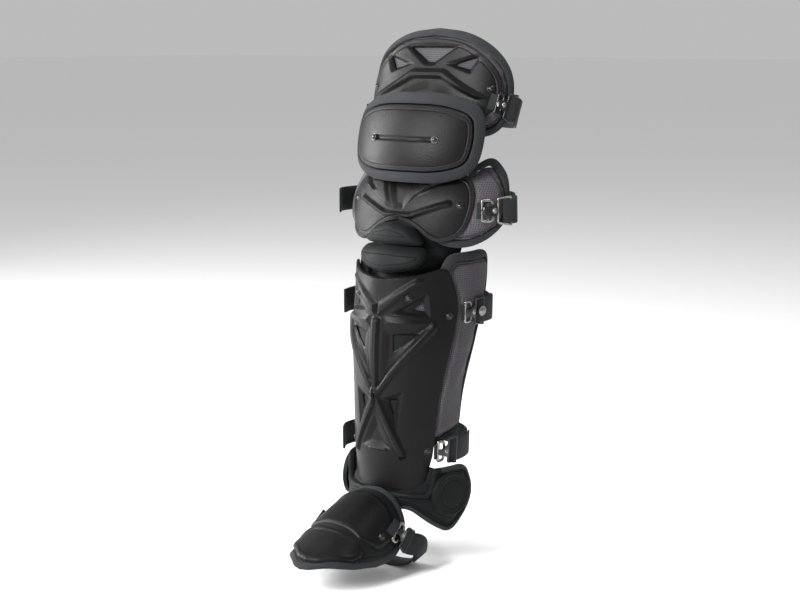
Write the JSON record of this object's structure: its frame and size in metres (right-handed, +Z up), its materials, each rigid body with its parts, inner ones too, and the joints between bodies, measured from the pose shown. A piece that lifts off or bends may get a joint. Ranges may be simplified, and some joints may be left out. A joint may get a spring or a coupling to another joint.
{
  "type": "baseball catcher's leg guard",
  "caption": "Worn leg guard with hard shells over padded thigh, knee, shin, ankle and foot sections, closed by hooked elastic straps.",
  "frame": {"origin": "on the leg's middle line inside the shin hollow, where the guard sits on the leg", "axes": "+Z up along the leg, the front of the guard towards -Y, the strap hooks on the +X side"},
  "size_m": [0.2311, 0.3221, 0.6045],
  "materials": {
    "shell_plastic": "satin black moulded plastic with a fine pebbled grain",
    "mesh_fabric": "mid grey knitted mesh over foam",
    "binding_tape": "dark grey woven edge tape",
    "soft_black": "black padded fabric",
    "webbing": "dark elastic webbing",
    "nickel_steel": "bright nickel plated wire",
    "black_metal": "black coated metal"
  },
  "bodies": {
    "root": {"thigh_pad": "mesh_fabric", "thigh_binding": "binding_tape", "thigh_shell": "shell_plastic", "knee_cap_pad": "soft_black", "knee_cap_binding": "binding_tape", "knee_cap_shell": "shell_plastic", "lower_knee_pad": "mesh_fabric", "lower_knee_binding": "binding_tape", "lower_knee_shell": "shell_plastic", "flex_upper": "soft_black", "flex_lower": "soft_black", "flex_panel": "soft_black", "shin_pad": "mesh_fabric", "shin_binding": "binding_tape", "shin_shell": "shell_plastic", "ankle_pad": "soft_black", "ankle_binding": "binding_tape", "ankle_disc_left": "soft_black", "ankle_disc_right": "soft_black", "foot_pad": "soft_black", "foot_binding": "binding_tape", "instep_plate": "shell_plastic", "toe_plate": "shell_plastic", "rivet_thigh_left": "black_metal", "rivet_thigh_right": "black_metal", "rivet_cap_left": "black_metal", "rivet_cap_right": "black_metal", "rivet_knee_left": "black_metal", "rivet_knee_right": "black_metal", "rivet_shin_top_left": "black_metal", "rivet_shin_top_right": "black_metal", "rivet_shin_mid_left": "black_metal", "rivet_shin_mid_right": "black_metal", "rivet_shin_low_left": "black_metal", "rivet_shin_low_right": "black_metal", "rivet_instep_left": "black_metal", "rivet_instep_right": "black_metal", "thigh_strap": "webbing", "thigh_tab": "webbing", "thigh_d_ring": "nickel_steel", "thigh_hook": "black_metal", "knee_strap": "webbing", "knee_tab": "webbing", "knee_d_ring": "nickel_steel", "knee_hook": "black_metal", "upper_shin_strap": "webbing", "upper_shin_tab": "webbing", "upper_shin_d_ring": "nickel_steel", "upper_shin_hook": "black_metal", "lower_shin_strap": "webbing", "lower_shin_tab": "webbing", "lower_shin_d_ring": "nickel_steel", "lower_shin_hook": "black_metal", "foot_strap": "webbing", "foot_tab": "webbing", "foot_d_ring": "nickel_steel", "foot_hook": "black_metal"}
  },
  "joints": []
}
